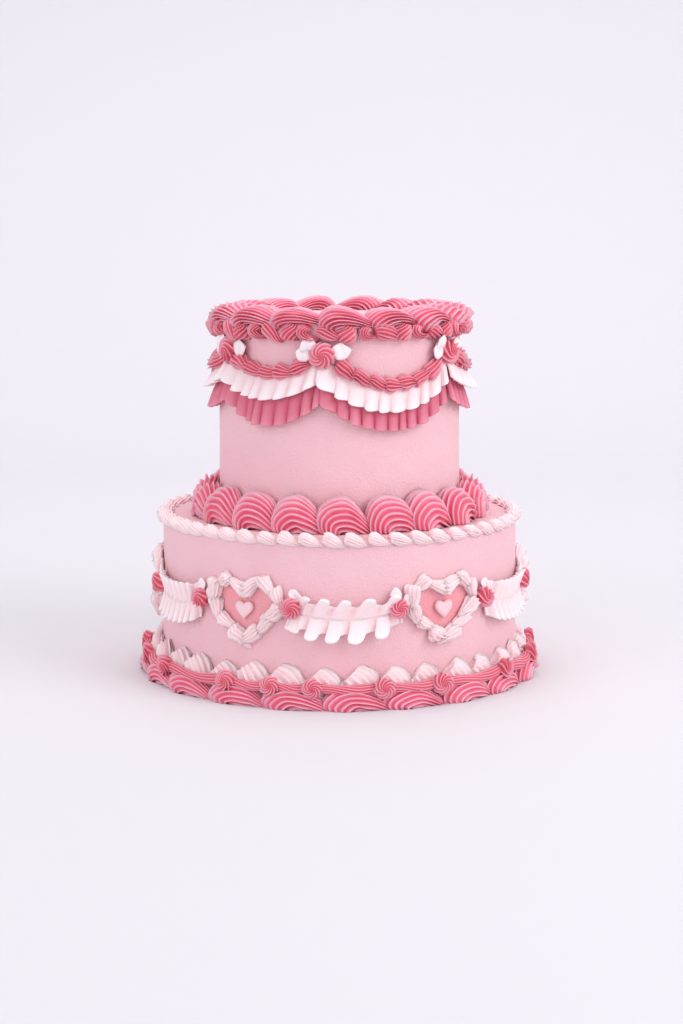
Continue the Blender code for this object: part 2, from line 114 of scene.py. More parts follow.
def icing(name, look):
    # buttercream: the colour runs from groove to crest, painted shade deep in the grooves and a painted
    # highlight pale on the crests, mottled, with a fine grain and small lumps
    material = bpy.data.materials.new(name)
    material.use_nodes = True
    tree = material.node_tree
    shader = tree.nodes["Principled BSDF"]
    place = addNode(tree, "ShaderNodeTexCoord").outputs["Object"]
    crest = addNode(tree, "ShaderNodeAttribute", attribute_name="crest").outputs["Fac"]
    batch = addNode(tree, "ShaderNodeAttribute", attribute_name="batch").outputs["Fac"]
    # painted shade and highlight: each piece's crest attribute runs this ramp, from the painted shade of the
    # groove colour to the painted highlight of the crest colour
    ramp = addNode(tree, "ShaderNodeValToRGB", {"Fac": crest})
    for i, (stop, key) in enumerate(look["stops"]):
        point = ramp.color_ramp.elements[i] if i < 2 else ramp.color_ramp.elements.new(stop)
        point.position = stop
        point.color = tone(*look[key], look["depth"])
    cloud = addNode(tree, "ShaderNodeTexNoise", {
        "Vector": place, "Scale": look["cloudScale"], "Detail": 3.0})
    mottle = addNode(tree, "ShaderNodeMapRange", noiseSpan | {
        "Value": cloud.outputs["Fac"], "To Min": 0.0, "To Max": look["cloud"]})
    deeper = addNode(tree, "ShaderNodeMix", {
        0: mottle.outputs[0], 6: ramp.outputs["Color"],
        7: tone(*look["mottle"], look["depth"])}, data_type="RGBA")
    share = addNode(tree, "ShaderNodeMath", {0: batch, 1: look["batch"]}, operation="MULTIPLY")
    mixed = addNode(tree, "ShaderNodeMix", {
        0: share.outputs[0], 6: deeper.outputs[2],
        7: tone(*look["pale"], look["depth"])}, data_type="RGBA")
    tree.links.new(mixed.outputs[2], shader.inputs["Base Color"])
    grain = addNode(tree, "ShaderNodeTexNoise", {
        "Vector": place, "Scale": look["grainScale"], "Detail": 4.0, "Roughness": 0.6})
    lumps = addNode(tree, "ShaderNodeTexNoise", {
        "Vector": place, "Scale": look["lumpScale"], "Detail": 2.0})
    small = addNode(tree, "ShaderNodeBump", {
        "Height": grain.outputs["Fac"], "Strength": look["grain"], "Distance": look["grainDepth"]})
    bump = addNode(tree, "ShaderNodeBump", {
        "Height": lumps.outputs["Fac"], "Strength": look["lumps"], "Distance": look["lumpDepth"],
        "Normal": small.outputs[0]})
    tree.links.new(bump.outputs[0], shader.inputs["Normal"])
    gloss = addNode(tree, "ShaderNodeMapRange", noiseSpan | {
        "Value": grain.outputs["Fac"],
        "To Min": look["roughness"] - look["glossStray"], "To Max": look["roughness"] + look["glossStray"]})
    tree.links.new(gloss.outputs[0], shader.inputs["Roughness"])
    shader.inputs["Subsurface Weight"].default_value = look["soft"]
    shader.inputs["Subsurface Radius"].default_value = look["softTint"]
    shader.inputs["Subsurface Scale"].default_value = look["softReach"]
    shader.inputs["Specular IOR Level"].default_value = look["shine"]
    return material


piped = {
    # groove is a painted shade colour and crestTone a painted highlight colour; body lies between them
    "stops": ((0.0, "groove"), (0.9, "crestTone"), (0.35, "body")),
    "cloudScale": 60.0, "cloud": 0.22, "batch": 0.12, "depth": 0.926,
    "grainScale": 1500.0, "grain": 0.12, "grainDepth": 0.0006,
    "lumpScale": 260.0, "lumps": 0.10, "lumpDepth": 0.003,
    "roughness": 0.47, "glossStray": 0.08, "shine": 0.42,
    "soft": 0.12, "softReach": 0.002, "softTint": (1.0, 0.88, 0.88),
}
finishes = {
    "bright": icing("brightRoseIcing", piped | {
        "groove": (236, 90, 120), "body": (248, 128, 156), "crestTone": (254, 208, 222),
        "mottle": (240, 110, 138), "pale": (252, 168, 192)}),
    "dusty": icing("dustyRoseIcing", piped | {
        "groove": (222, 82, 106), "body": (238, 112, 134), "crestTone": (251, 184, 200),
        "mottle": (226, 96, 118), "pale": (244, 146, 164)}),
    "deep": icing("deepRoseIcing", piped | {
        "groove": (206, 74, 100), "body": (223, 108, 133), "crestTone": (241, 155, 176),
        "mottle": (212, 94, 119), "pale": (231, 134, 156), "grain": 0.22}),
    "white": icing("whiteIcing", piped | {
        "groove": (254, 206, 210), "body": (255, 229, 232), "crestTone": (255, 246, 248),
        "mottle": (252, 222, 226), "pale": (255, 238, 241), "grain": 0.14, "soft": 0.35, "depth": 0.98}),
    "softWhite": icing("softWhiteIcing", piped | {
        "groove": (255, 219, 222), "body": (255, 227, 230), "crestTone": (255, 232, 234),
        "mottle": (254, 218, 222), "pale": (255, 232, 234), "grain": 0.14, "soft": 0.5, "softReach": 0.0025,
        "depth": 1.0}),
    # on the wall the groove colour is only the painted shade inside the hearts
    "wall": icing("paleRoseIcing", piped | {
        "groove": (255, 170, 179), "body": (252, 206, 214), "crestTone": (252, 206, 214),
        "mottle": (248, 194, 204), "pale": (252, 210, 218), "cloudScale": 28.0, "cloud": 0.5,
        "grainScale": 800.0, "grain": 0.6, "grainDepth": 0.0012, "lumpScale": 90.0, "lumps": 0.12,
        "roughness": 0.6}),
    # its groove colour is painted shade at the candy's foot, its paler crestTone a painted highlight on its
    # top
    "sugar": icing("sugarCandy", piped | {
        "groove": (249, 206, 211), "body": (249, 206, 211), "crestTone": (250, 216, 221),
        "mottle": (245, 196, 203), "pale": (250, 214, 219), "grain": 0.05, "roughness": 0.40}),
}
print("finishes made")


def facingOut(points, faces):
    # a negative volume means a closed shape inside out, or a sheet that faces into the cake
    corners = [points[[face[k] for face in faces]] for k in range(3)]
    volume = np.einsum("ij,ij->i", corners[0], np.cross(corners[1], corners[2])).sum()
    if max(len(face) for face in faces) > 3:
        last = points[[face[-1] for face in faces]]
        volume += np.einsum("ij,ij->i", corners[0], np.cross(corners[2], last)).sum()
    return faces if volume > 0 else [face[::-1] for face in faces]


def newMesh(name, points, faces, crest, finish=None):
    mesh = bpy.data.meshes.new(name)
    mesh.from_pydata(points.tolist(), [], facingOut(points, faces))
    mesh.shade_smooth()
    mesh.attributes.new("crest", "FLOAT", "POINT").data.foreach_set("value", np.asarray(crest, np.float32))
    if finish:
        mesh.materials.append(finish)
    return mesh


def tubeFaces(rows, columns):
    # the sides of a tube, and a fan at each end round a point added after the rows
    i, j = np.meshgrid(np.arange(rows - 1), np.arange(columns), indexing="ij")
    k = (j + 1) % columns
    sides = np.stack([i * columns + j, i * columns + k, (i + 1) * columns + k, (i + 1) * columns + j], -1)
    ring = np.arange(columns)
    after = (ring + 1) % columns
    foot, tip = np.full(columns, rows * columns), np.full(columns, rows * columns + 1)
    base = (rows - 1) * columns
    return (sides.reshape(-1, 4).tolist() + np.stack([foot, after, ring], -1).tolist()
            + np.stack([tip, base + ring, base + after], -1).tolist())


def tubeMesh(name, grid, crest, finish=None):
    points = np.concatenate([grid.reshape(-1, 3), [grid[0].mean(0)], [grid[-1].mean(0)]])
    crest = np.concatenate([crest.reshape(-1), [crest[0].mean()], [crest[-1].mean()]])
    return newMesh(name, points, tubeFaces(*grid.shape[:2]), crest, finish)


def ridges(look, t, draw):
    # how far each point of a star section stands out, uneven from tooth to tooth and along it
    columns = look["teeth"] * look["perTooth"]
    turn = 2 * np.pi * np.arange(columns) / columns
    crest = (1 - np.abs(np.sin(look["teeth"] * turn / 2))) ** look["sharp"]
    tooth = np.round(turn * look["teeth"] / (2 * np.pi)).astype(int) % look["teeth"]
    along = np.linspace(0, 1, look["swells"])
    coarse = draw.normal(0, look["uneven"], (look["swells"], look["teeth"]))
    drift = np.stack([np.interp(t, along, coarse[:, k]) for k in range(look["teeth"])], -1)
    ends = np.clip(np.minimum(t / look["startFade"], (1 - t) / look["endFade"]), 0, 1)[:, None]
    swell = look["ridge"] * (crest - 0.5) * ends * (1 + drift[:, tooth])
    swell = swell + draw.normal(0, look["rough"], (len(t), columns)) * crest
    # the colour share is painted light: painted shade in the grooves and at the faded ends, painted highlight
    # on the crests; a piece without ridges gets one even share
    return turn, (crest * ends if look["ridge"] else np.full(swell.shape, look["plainTone"])), swell


def railShell(name, look, seed):
    # one piped shell, lofted between an inner and an outer rail, with ridges along it
    draw = np.random.default_rng(seed)
    t = np.linspace(0, 1, look["steps"])
    stir = look["stir"]
    inner = smoothLine(np.array(look["inner"]) + draw.normal(0, stir, (len(look["inner"]), 2)), t)
    outer = smoothLine(np.array(look["outer"]) + draw.normal(0, stir, (len(look["outer"]), 2)), t)
    front = smoothLine(look["front"], t)[:, None] * (1 + draw.uniform(-1, 1) * look["frontStray"])
    back = smoothLine(look["back"], t)[:, None]
    lift = smoothLine(look["lift"], t)[:, None]
    turn, crest, swell = ridges(look, t, draw)
    middle, half = (inner + outer) / 2, (outer - inner) / 2
    wind = turn + math.radians(look["wind"]) * (t[:, None] - 0.5)
    across, through = -np.cos(wind) * (1 + swell), np.sin(wind) * (1 + swell)
    x = middle[:, :1] + half[:, :1] * across
    y = middle[:, 1:] + half[:, 1:] * across
    z = lift + np.where(through > 0, front, back) * through
    lean = math.radians(look["lean"])
    up = y * math.cos(lean) + z * math.sin(lean)
    out = z * math.cos(lean) - y * math.sin(lean)
    bend = look["bend"]
    bent = [(bend + out) * np.sin(x / bend), up, (bend + out) * np.cos(x / bend) - bend]
    return tubeMesh(name, np.stack(bent, -1) / 1000, crest)


def moundShell(name, look, seed):
    # a rosette: a low mound whose ridges wind in to its middle
    draw = np.random.default_rng(seed)
    t = np.linspace(0, 1, look["steps"])
    turn, crest, swell = ridges(look, t, draw)
    reach = smoothLine(look["reach"], t)[:, None] * (1 + swell)
    wind = turn + look["turns"] * t[:, None] ** look["tighten"]
    rise = smoothLine(look["rise"], t)[:, None] + look["dome"] * swell
    grid = np.stack(np.broadcast_arrays(reach * np.cos(wind), reach * np.sin(wind), rise), -1) / 1000
    return tubeMesh(name, grid, crest)


def enabledOutput(node):
    # a random value node shows one output for each type, and only one is live
    return [socket for socket in node.outputs if socket.enabled][0]


def rowTree():
    # one shell on each point, turned and sized a little at random
    tree = bpy.data.node_groups.new("pipedRow", "GeometryNodeTree")
    for name, kind in (("Geometry", "Geometry"), ("Shells", "Collection"), ("Icing", "Material"),
                       ("Size Variation", "Float"), ("Turn Variation", "Float"), ("Seed", "Int")):
        tree.interface.new_socket(name, in_out="INPUT", socket_type=f"NodeSocket{kind}")
    tree.interface.new_socket("Geometry", in_out="OUTPUT", socket_type="NodeSocketGeometry")
    given = addNode(tree, "NodeGroupInput").outputs
    shells = addNode(tree, "GeometryNodeCollectionInfo", {
        "Collection": given["Shells"], "Separate Children": True, "Reset Children": True})
    turn = addNode(tree, "GeometryNodeInputNamedAttribute", {"Name": "turn"}, data_type="FLOAT_VECTOR")
    size = addNode(tree, "GeometryNodeInputNamedAttribute", {"Name": "size"}, data_type="FLOAT_VECTOR")
    shape = addNode(tree, "GeometryNodeInputNamedAttribute", {"Name": "shape"}, data_type="INT")
    low = addNode(tree, "ShaderNodeMath", {0: 1.0, 1: given["Size Variation"]}, operation="SUBTRACT")
    high = addNode(tree, "ShaderNodeMath", {0: 1.0, 1: given["Size Variation"]}, operation="ADD")
    grow = addNode(tree, "FunctionNodeRandomValue", {
        "Min": low.outputs[0], "Max": high.outputs[0], "Seed": given["Seed"]}, data_type="FLOAT")
    scale = addNode(tree, "ShaderNodeVectorMath", {0: size.outputs["Attribute"]}, operation="SCALE")
    back = addNode(tree, "ShaderNodeMath", {0: given["Turn Variation"], 1: -1.0}, operation="MULTIPLY")
    tilt = addNode(tree, "FunctionNodeRandomValue", {
        "Min": back.outputs[0], "Max": given["Turn Variation"], "Seed": given["Seed"]},
        data_type="FLOAT_VECTOR")
    batch = addNode(tree, "FunctionNodeRandomValue", {"Seed": given["Seed"]}, data_type="FLOAT")
    tree.links.new(enabledOutput(grow), scale.inputs["Scale"])
    placed = addNode(tree, "GeometryNodeInstanceOnPoints", {
        "Points": given["Geometry"], "Instance": shells.outputs[0], "Pick Instance": True,
        "Instance Index": shape.outputs["Attribute"], "Rotation": turn.outputs["Attribute"],
        "Scale": scale.outputs[0]})
    turned = addNode(tree, "GeometryNodeRotateInstances", {
        "Instances": placed.outputs[0], "Rotation": enabledOutput(tilt), "Local Space": True})
    marked = addNode(tree, "GeometryNodeStoreNamedAttribute", {
        "Geometry": turned.outputs[0], "Name": "batch", "Value": enabledOutput(batch)},
        data_type="FLOAT", domain="INSTANCE")
    real = addNode(tree, "GeometryNodeRealizeInstances", {"Geometry": marked.outputs[0]})
    for name in ("turn", "size", "shape"):
        real = addNode(tree, "GeometryNodeRemoveAttribute", {"Geometry": real.outputs[0], "Name": name})
    done = addNode(tree, "GeometryNodeSetMaterial", {
        "Geometry": real.outputs[0], "Material": given["Icing"]})
    addNode(tree, "NodeGroupOutput", {0: done.outputs[0]})
    return tree


pipedRow = rowTree()


def shapeSet(name, make, looks, count, seed):
    # several makings of a shape, kept out of the scene for the rows to pick from
    looks = looks if isinstance(looks, list) else [looks]
    group = bpy.data.collections.new(name)
    for i in range(count):
        mesh = make(f"{name}{i}", looks[i % len(looks)], seed + i)
        group.objects.link(bpy.data.objects.new(f"{name}{i}", mesh))
    return group


def wallTurn(angle, roll):
    # x runs along the wall to the right, y up it and z out of it, then rolled about z
    turn = math.radians(angle)
    upright = Matrix((
        (math.cos(turn), 0.0, math.sin(turn)),
        (math.sin(turn), 0.0, -math.cos(turn)),
        (0.0, 1.0, 0.0)))
    return list((upright @ Matrix.Rotation(math.radians(roll), 3, "Z")).to_euler())


def spotOn(angle, radius, z, roll, size=(1.0, 1.0, 1.0)):
    return onRound(angle, radius, z), wallTurn(angle, roll), size


def plainMesh(piece):
    # what the modifiers make, as the piece's own mesh
    made = bpy.data.meshes.new_from_object(piece.evaluated_get(bpy.context.evaluated_depsgraph_get()))
    piece.modifiers.clear()
    piece.data = made
    made.name = piece.name
    return piece


def growRow(name, shells, spots, row, finish):
    # spots hold the place, the turn and the size of each shell, and the makings take turns
    mesh = bpy.data.meshes.new(name)
    mesh.from_pydata([list(spot[0]) for spot in spots], [], [])
    mesh.attributes.new("turn", "FLOAT_VECTOR", "POINT").data.foreach_set(
        "vector", [c for spot in spots for c in spot[1]])
    mesh.attributes.new("size", "FLOAT_VECTOR", "POINT").data.foreach_set(
        "vector", [c for spot in spots for c in spot[2]])
    mesh.attributes.new("shape", "INT", "POINT").data.foreach_set(
        "value", [(i * 7 + row["seed"]) % len(shells.objects) for i in range(len(spots))])
    piece = bpy.data.objects.new(name, mesh)
    bpy.context.scene.collection.objects.link(piece)
    grower = piece.modifiers.new("pipedRow", "NODES")
    grower.node_group = pipedRow
    values = {
        "Shells": shells, "Icing": finish, "Size Variation": row["sizeVariation"],
        "Turn Variation": math.radians(row["turnVariation"]), "Seed": row["seed"]}
    for socket in pipedRow.interface.items_tree:
        if socket.in_out == "INPUT" and socket.name in values:
            grower[socket.identifier] = values[socket.name]
    plainMesh(piece)
    bpy.data.meshes.remove(mesh)
    return piece


def dress(piece, slotName, *nodes):
    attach(piece, "root")
    if nodes:
        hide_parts(*nodes)
    print(piece.name, sum(len(face.vertices) - 2 for face in piece.data.polygons), "triangles")


def addPiece(name, mesh):
    piece = bpy.data.objects.new(name, mesh)
    bpy.context.scene.collection.objects.link(piece)
    return piece


# the two tiers: smoothed icing over sponge, a little uneven
tier = {"around": 300, "rowsUp": 46, "cornerRows": 5, "topRings": 8, "soften": 0.0022, "hub": 0.02,
        "waver": 0.00022, "waves": 9, "wavesAround": (2, 26), "climb": 260, "waverShare": 0.08}


def tierMesh(name, foot, top, low, high, seed):
    draw = np.random.default_rng(seed)
    angle = np.arange(tier["around"]) * 360 / tier["around"]
    up = np.linspace(0, 1, tier["rowsUp"])
    height = low + (high - low - tier["soften"]) * up
    wall = foot + (top - foot) * (height - low) / (high - low)
    corner = np.linspace(0, math.pi / 2, tier["cornerRows"] + 1)[1:]
    radii = [wall, wall[-1] - tier["soften"] * (1 - np.cos(corner)) * 0.9]
    heights = [height, height[-1] + tier["soften"] * np.sin(corner)]
    radii.append((wall[-1] - tier["soften"]) * np.linspace(1, tier["hub"], tier["topRings"] + 1)[1:])
    heights.append(np.full(tier["topRings"], high))
    radius, z = np.concatenate(radii)[:, None], np.concatenate(heights)[:, None]
    waver = np.zeros((len(radius), tier["around"]))
    for _ in range(tier["waves"]):
        waves = draw.integers(*tier["wavesAround"])
        rise, start = draw.uniform(-1, 1) * tier["climb"], draw.uniform(0, 6.3)
        waver += np.sin(np.radians(angle) * waves + z * rise + start) / tier["waves"]
    radius = radius * (1 + waver * tier["waver"] / tier["waverShare"]) - tier["waver"]
    grid = onRound(angle[None, :], radius, z)
    return tubeMesh(name, grid, np.full(grid.shape[:2], plainWall), finishes["wall"])


plainWall = 0.5  # the share of the way from groove to crest that colours a smooth wall
lowerTier = addPiece("lowerTierIcing", tierMesh(
    "lowerTierIcing", cake["lowerFoot"], cake["lowerTop"], 0.0, cake["lowerHeight"], 3))
upperTier = addPiece("upperTierIcing", tierMesh(
    "upperTierIcing", cake["upperFoot"], cake["upperTop"], shelfZ, crownZ - cake["gap"], 4))
dress(lowerTier, "tier_icing", "lower_tier")
dress(upperTier, "tier_icing", "upper_tier")


# large shells: crown, waist and base
shellRidges = {
    "perTooth": 6, "sharp": 1.15, "uneven": 0.30, "swells": 9, "rough": 0.010, "ridge": 0.24,
    "startFade": 0.05, "endFade": 0.04, "stir": 0.45, "frontStray": 0.05, "lean": 0.0, "lift": (0, 0),
    "plainTone": 0.8}

crownLook = shellRidges | {
    "steps": 46, "teeth": 20, "bend": 64.0, "wind": -26.0,
    "inner": ((-4, -6.6), (-5.5, -6.0), (-5.0, -4.6), (-1.5, -4.0), (4, -4.6), (11, -5.2), (20, -4.8)),
    "outer": ((-9, -7.0), (-16, -5.4), (-17.4, 0.8), (-11.5, 6.2), (-1, 6.6), (9, 2.6), (20, -3.4)),
    "front": (5.0, 12.0, 15.0, 15.4, 13.6, 9.5, 2.5), "back": (5.0, 12.0, 15.0, 15.4, 13.6, 9.5, 2.5)}
waistLook = shellRidges | {
    "steps": 42, "teeth": 19, "lean": 14.0, "bend": 84.0, "wind": -24.0,
    "inner": ((3.5, -6.5), (1.6, -6.2), (1, -4.2), (4, -3.2), (8, -4.4), (12, -5.6), (17, -6.5)),
    "outer": ((-9.5, -6), (-14, -1), (-14.6, 9), (-9.5, 17.2), (0.5, 20), (9.2, 15.4), (16.8, 4.6)),
    "front": (5.5, 8.6, 10.0, 10.4, 9.8, 8.0, 3.4), "back": (3.0, 5.0, 6.0, 6.0, 6.0, 5.0, 2.0)}
baseLook = shellRidges | {
    "steps": 40, "teeth": 18, "lean": 8.0, "bend": 115.0, "wind": -24.0,
    "inner": ((9, -6.5), (5, -6.2), (2.6, -4.8), (5, -3.8), (9.5, -4.4), (14, -5.2), (20, -6)),
    "outer": ((-10, -6.5), (-17, -2.8), (-18.4, 2.8), (-12.5, 9), (-1.5, 11.8), (9, 9), (19.4, 1.4)),
    "front": (4.6, 6.6, 7.8, 8.0, 7.6, 6.6, 4.0), "back": (2.0, 3.4, 4.0, 4.0, 4.0, 3.4, 1.6)}


def ringSpots(row, radius, z):
    # evenly spaced places round a tier, each a little off
    draw = np.random.default_rng(row["seed"])
    places = np.arange(row["count"]) + draw.uniform(-row["stray"], row["stray"], row["count"])
    rolls = row["roll"] + draw.uniform(-1, 1, row["count"]) * row["rollVariation"]
    step = 360 / row["count"]
    return [spotOn(row["first"] + place * step, radius, z, roll) for place, roll in zip(places, rolls)]


def pointsOf(piece):
    points = np.empty(len(piece.data.vertices) * 3, np.float32)
    piece.data.vertices.foreach_get("co", points)
    return points.reshape(-1, 3)


def settle(piece, floor):
    # what would sink below the surface it rests on is pressed flat on it
    points = pointsOf(piece)
    points[:, 2] = np.maximum(points[:, 2], floor)
    piece.data.vertices.foreach_set("co", points.reshape(-1))
    piece.data.update()
    return piece


crown = {"count": 15, "first": -19.0, "stray": 0.07, "roll": 0.0, "rollVariation": 3.0,
         "sizeVariation": 0.04, "turnVariation": 2.5, "seed": 5, "radius": 0.0640, "z": crownZ + 0.0002}
crownPiping = growRow("crownPiping", shapeSet("crownShell", railShell, crownLook, 4, 20),
                      ringSpots(crown, crown["radius"], crown["z"]), crown, finishes["bright"])
dress(crownPiping, "bright_rose_icing", "crown_shells")

waist = {"count": 19, "first": 1.2, "stray": 0.06, "roll": 0.0, "rollVariation": 3.0,
         "sizeVariation": 0.03, "turnVariation": 2.0, "seed": 8, "radius": 0.0826, "z": shelfZ + 0.0010}
waistPiping = growRow("waistPiping", shapeSet("waistShell", railShell, waistLook, 4, 30),
                      ringSpots(waist, waist["radius"], waist["z"]), waist, finishes["bright"])
dress(settle(waistPiping, shelfZ), "bright_rose_icing", "waist_shells")

base = {"count": 21, "first": 3.4, "stray": 0.05, "roll": 0.0, "rollVariation": 2.0,
        "sizeVariation": 0.03, "turnVariation": 1.5, "seed": 4, "radius": 0.1168, "z": 0.0022}
basePiping = growRow("basePiping", shapeSet("baseShell", railShell, baseLook, 4, 40),
                     ringSpots(base, base["radius"], base["z"]), base, finishes["bright"])
dress(settle(basePiping, footZ), "bright_rose_icing", "base_shells")


# small shells: under the crown, on the shelf's edge and behind the base
underRidges = shellRidges | {
    "bend": 78.0, "lean": -4.0, "ridge": 0.36, "stir": 0.35, "back": (1.0, 2.0, 2.4, 2.0, 1.6, 1.0)}
underCurl = underRidges | {
    "steps": 26, "teeth": 12, "wind": -110.0,
    "inner": ((1.0, -2.4), (3.6, -3.8), (5.2, -2.2), (5.2, 0.6), (4.6, 3.0), (4.2, 5.0)),
    "outer": ((-0.6, -2.4), (-3.8, -3.8), (-5.6, -0.8), (-5.0, 2.2), (-2.8, 4.2), (-1.0, 5.6)),
    "front": (2.6, 4.6, 5.4, 5.2, 4.2, 3.0)}
underSwirl = underRidges | {
    "steps": 30, "teeth": 13, "wind": -30.0,
    "inner": ((2.0, 3.4), (1.0, 1.8), (-0.2, 0.8), (0.2, -0.4), (2.4, -0.6), (5.6, -0.4)),
    "outer": ((-2.0, 4.8), (-5.4, 3.0), (-6.0, -1.2), (-2.2, -4.2), (3.4, -3.8), (7.4, -1.2)),
    "front": (3.0, 4.8, 5.6, 5.6, 5.0, 3.0)}
underTail = underRidges | {
    "steps": 26, "teeth": 12, "wind": -70.0,
    "inner": ((-5.0, 0.6), (-4.8, -1.8), (-2.0, -3.6), (2.0, -4.4), (6.0, -4.4), (9.0, -4.0)),
    "outer": ((-5.6, 2.0), (-5.4, 4.4), (-1.0, 5.2), (3.6, 3.4), (7.4, 0.2), (9.4, -2.6)),
    "front": (2.4, 4.6, 5.6, 5.2, 4.2, 2.0)}
shelfLook = shellRidges | {
    "steps": 24, "teeth": 13, "perTooth": 5, "bend": 108.0, "ridge": 0.30, "stir": 0.25, "wind": -40.0,
    "startFade": 0.02,
    "inner": ((-6.0, -0.8), (-5.4, -2.8), (-2.0, -3.6), (3.0, -2.6), (7.4, -1.4), (10.6, -0.6)),
    "outer": ((-6.4, 0.4), (-6.2, 2.2), (-2.5, 3.5), (2.4, 2.2), (7.0, 0.7), (10.6, 0.1)),
    "front": (2.2, 4.0, 4.8, 3.9, 2.4, 1.0), "back": (2.0, 3.6, 4.4, 3.7, 2.4, 1.0)}
behindLook = shellRidges | {
    "steps": 26, "teeth": 15, "bend": 112.0, "ridge": 0.36, "stir": 0.5, "wind": -25.0,
    "startFade": 0.015,
    "inner": ((-11.4, -5.0), (-12.2, -8.6), (-6.0, -10.4), (1.5, -9.2), (8.0, -6.6), (12.4, -3.0)),
    "outer": ((-12.4, 4.6), (-12.2, 8.6), (-6.0, 10.6), (1.5, 9.4), (8.0, 6.4), (12.4, 2.6)),
    "front": (3.6, 5.4, 6.2, 5.8, 4.4, 2.2), "back": (0.6, 1.2, 1.4, 1.2, 1.0, 0.6)}

under = {"count": 42, "first": 3.3, "stray": 0.10, "roll": -8.0, "rollVariation": 14.0,
         "sizeVariation": 0.10, "turnVariation": 6.0, "seed": 12, "offWall": 0.0012, "z": 0.2126}
underShapes = shapeSet("underShell", railShell, [underCurl, underSwirl, underTail], 6, 50)
underPiping = growRow("underCrownPiping", underShapes,
                      ringSpots(under, upperWall(under["z"]) + under["offWall"], under["z"]),
                      under, finishes["dusty"])
dress(underPiping, "dusty_rose_icing", "crown_under_shells")

shelf = {"count": 52, "first": -2.0, "stray": 0.06, "roll": -14.0, "rollVariation": 4.0,
         "sizeVariation": 0.06, "turnVariation": 3.0, "seed": 14,
         "radius": cake["lowerTop"] - 0.0018, "z": shelfZ - 0.0008}
shelfPiping = growRow("shelfPiping", shapeSet("shelfShell", railShell, shelfLook, 4, 60),
                      ringSpots(shelf, shelf["radius"], shelf["z"]), shelf, finishes["softWhite"])
dress(shelfPiping, "white_icing", "shelf_border")

behind = {"count": 34, "first": -4.0, "stray": 0.08, "roll": -45.0, "rollVariation": 8.0,
          "sizeVariation": 0.06, "turnVariation": 4.0, "seed": 15,
          "radius": cake["lowerFoot"] + 0.0006, "z": 0.0086}
behindPiping = growRow("baseWhitePiping", shapeSet("backShell", railShell, behindLook, 4, 70),
                       ringSpots(behind, behind["radius"], behind["z"]), behind, finishes["softWhite"])
dress(settle(behindPiping, footZ), "white_icing", "base_white_shells")
print("borders piped")


# swags on the upper tier, the first joint left of the front
swag = {"joints": (-57.3, -7.2, 56.5, 118.05, 179.6, 241.15, 302.7), "jointZ": 0.2000,
        "sags": (0.0110, 0.0175, 0.0110, 0.0115, 0.0105, 0.0110)}
swagCount = len(swag["sags"])


def hang(share):
    # how far a line has sunk between its two ends, 1 in the middle
    return 4 * share * (1 - share)


def swagLine(number, share):
    # angle and height of the middle of the garland, this share of the way along
    near, far = swag["joints"][number], swag["joints"][number + 1]
    return near + (far - near) * share, swag["jointZ"] - swag["sags"][number] * hang(share)


def sheetMesh(name, grid, crest, finish):
    rows, columns = grid.shape[:2]
    i, j = np.meshgrid(np.arange(rows - 1), np.arange(columns - 1), indexing="ij")
    a = i * columns + j
    faces = np.stack([a, a + 1, a + columns + 1, a + columns], -1).reshape(-1, 4).tolist()
    return newMesh(name, grid.reshape(-1, 3), faces, crest.reshape(-1), finish)


def thicken(piece, depth):
    wall = piece.modifiers.new("thickness", "SOLIDIFY")
    wall.thickness = depth
    wall.offset = -1.0
    return plainMesh(piece)


def foldLine(folds, perFold, unevenness, draw):
    # the phase along a ruffle whose folds differ in width, and how far each stands out
    widths = draw.uniform(1 - unevenness, 1 + unevenness, folds)
    bounds = np.concatenate([[0], np.cumsum(widths)]) / widths.sum()
    t = np.linspace(0, 1, folds * perFold + 1)
    phase = np.interp(t, bounds, np.arange(folds + 1))
    depth = draw.uniform(1 - unevenness, 1, folds + 2)
    return t, phase, np.interp(phase, np.arange(folds + 2) - 0.5, depth)


def paintedFoldShade(look, wave, spread, fromRoot):
    # the colour of a fold: painted shade deep in its troughs and at its root, less of it towards the pale hem
    return look["grooveTone"] + look["foldTone"] * wave * (0.4 + 0.6 * spread) + 0.28 * fromRoot


def swagRuffle(number, look, seed):
    draw = np.random.default_rng(seed)
    t, phase, depth = foldLine(look["folds"][number], look["perFold"], look["unevenness"], draw)
    wave = ((1 - np.cos(2 * np.pi * phase)) / 2) ** look["round"] * depth
    down = np.linspace(0, 1, look["rows"])[:, None]
    spread = down ** look["flare"]
    share = look["start"] + (look["end"] - look["start"]) * t
    angle, line = swagLine(number, share)
    top = line - look["top"]
    bottom = line - look["drop"] - (look["middleDrop"][number] - look["drop"]) * hang(share)
    lip = np.exp(-t * look["folds"][number] * 1.1) * look["lip"]  # the first fold stands out most
    stand = look["trough"] + (look["crest"][number] - look["trough"]) * wave
    out = look["root"] + (stand - look["root"] + lip) * spread
    pitch = (swag["joints"][number + 1] - swag["joints"][number]) / look["folds"][number]
    lean = look["shear"] + look["slant"] * wave - look["curl"] * np.sin(2 * np.pi * phase)
    z = top + (bottom - top) * down - look["scallop"] * (wave - 0.4) * spread
    grid = onRound(angle + lean * spread * pitch, upperWall(z) + out, z)
    return grid, np.broadcast_to(paintedFoldShade(look, wave, spread, down**6), grid.shape[:2])


